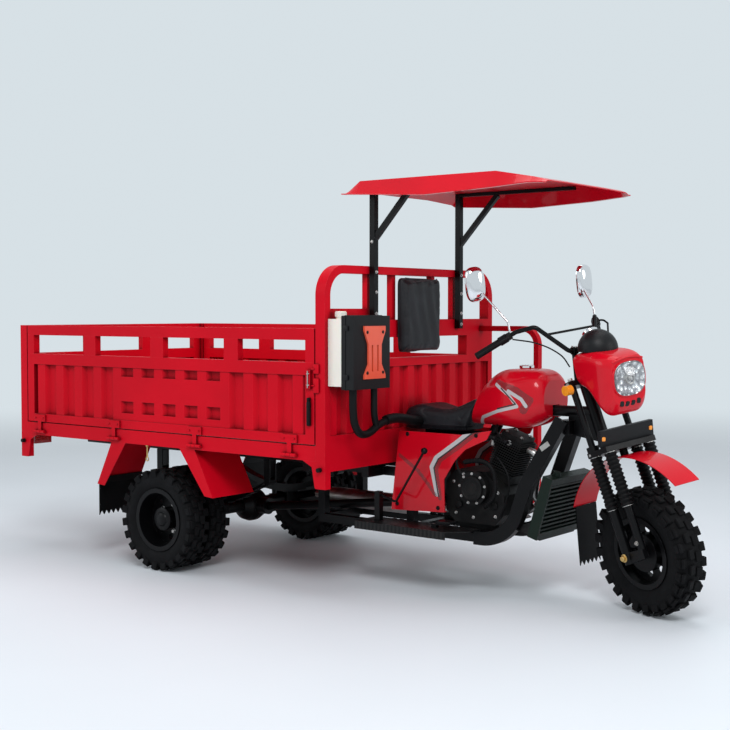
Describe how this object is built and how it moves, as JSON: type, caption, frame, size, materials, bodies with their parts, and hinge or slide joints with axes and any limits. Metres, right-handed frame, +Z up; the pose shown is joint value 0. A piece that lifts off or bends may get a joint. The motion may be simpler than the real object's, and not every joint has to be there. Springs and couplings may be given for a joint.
{
  "type": "cargo auto rickshaw",
  "caption": "Three-wheeled cargo motor tricycle with a motorcycle front end, driver's canopy and an open drop-side load box on twin rear wheels.",
  "frame": {"origin": "on the ground, under the middle of the vehicle's overall box", "axes": "+X forward, +Y to the vehicle's left, +Z up"},
  "size_m": [4.0606, 1.556, 2.076],
  "materials": {
    "amber_plastic": "amber plastic",
    "black_frame": "semi-gloss black paint",
    "black_plastic": "grained black plastic",
    "black_vinyl": "black seat vinyl",
    "bright_steel": "bare and plated steel",
    "chrome": "polished chrome",
    "engine_black": "black painted castings",
    "lamp_glass": "clear lamp glass",
    "orange_plastic": "orange-red plastic",
    "red_lamp": "red lamp plastic",
    "red_paint": "glossy red paint",
    "rubber": "black rubber",
    "tyre": "black tyre rubber",
    "white_plastic": "milky white plastic"
  },
  "bodies": {
    "vehicle": {"chassis_frame": "black_frame", "front_frame": "black_frame", "cargo_floor": "red_paint", "headboard": "red_paint", "rear_posts": "red_paint", "rubber_buffers": "rubber", "canopy_roof": "red_paint", "canopy_frame": "black_frame", "rear_axle": "black_frame", "leaf_spring_right": "black_frame", "leaf_spring_left": "black_frame", "prop_shaft": "black_frame", "rear_fenders": "red_paint", "rear_mud_flaps": "rubber", "engine": "engine_black", "radiator": "black_frame", "exhaust": "bright_steel", "footboards": "black_frame", "side_panel_right": "red_paint", "side_panel_left": "red_paint", "seat": "black_vinyl", "backrest": "black_vinyl", "fuel_tank": "red_paint", "coolant_tank": "white_plastic", "air_filter_box": "black_plastic", "slotted_panel": "orange_plastic", "intake_hose": "rubber", "guard_rail": "red_paint", "control_levers": "black_frame", "tail_lamps": "red_lamp"},
    "steering": {"fork": "black_frame", "fork_gaiters": "rubber", "handlebar": "black_frame", "grips": "rubber", "hand_levers": "chrome", "mirrors": "chrome", "headlamp_fairing": "red_paint", "headlamp_lens": "lamp_glass", "instrument_dome": "black_plastic", "indicators": "amber_plastic", "name_plate": "black_plastic", "front_fender": "red_paint", "front_mud_flap": "rubber", "control_cables": "rubber"},
    "front_wheel": {"front_tyre": "tyre", "front_rim": "black_frame"},
    "rear_wheel_right": {"rear_tyres_right": "tyre", "rear_rims_right": "black_frame"},
    "rear_wheel_left": {"rear_tyres_left": "tyre", "rear_rims_left": "black_frame"},
    "gate_right": {"side_gate_right": "red_paint"},
    "gate_left": {"side_gate_left": "red_paint"},
    "gate_rear": {"tailgate": "red_paint"}
  },
  "joints": [
    {"name": "steering_turn", "type": "hinge", "parent": "vehicle", "child": "steering", "pos_m": [1.69436, 0, 0.28563], "axis": [-0.3584, 0, 0.9336], "range_deg": [-18, 62]},
    {"name": "front_wheel_spin", "type": "hinge", "parent": "steering", "child": "front_wheel", "pos_m": [1.74197, -0.0206, 0.3039], "axis": [0.3497, 0.9272, 0.1342], "continuous": true},
    {"name": "rear_wheel_right_spin", "type": "hinge", "parent": "vehicle", "child": "rear_wheel_right", "pos_m": [-0.8293, -0.55, 0.28], "axis": [0, 1, 0], "continuous": true},
    {"name": "rear_wheel_left_spin", "type": "hinge", "parent": "vehicle", "child": "rear_wheel_left", "pos_m": [-0.8293, 0.55, 0.28], "axis": [0, 1, 0], "continuous": true},
    {"name": "gate_right_hinge", "type": "hinge", "parent": "vehicle", "child": "gate_right", "pos_m": [-0.8293, -0.769, 0.71], "axis": [1, 0, 0], "range_deg": [0, 180]},
    {"name": "gate_left_hinge", "type": "hinge", "parent": "vehicle", "child": "gate_left", "pos_m": [-0.8293, 0.769, 0.71], "axis": [-1, 0, 0], "range_deg": [0, 180]},
    {"name": "gate_rear_hinge", "type": "hinge", "parent": "vehicle", "child": "gate_rear", "pos_m": [-2.0213, 0, 0.71], "axis": [0, -1, 0], "range_deg": [0, 180]}
  ]
}
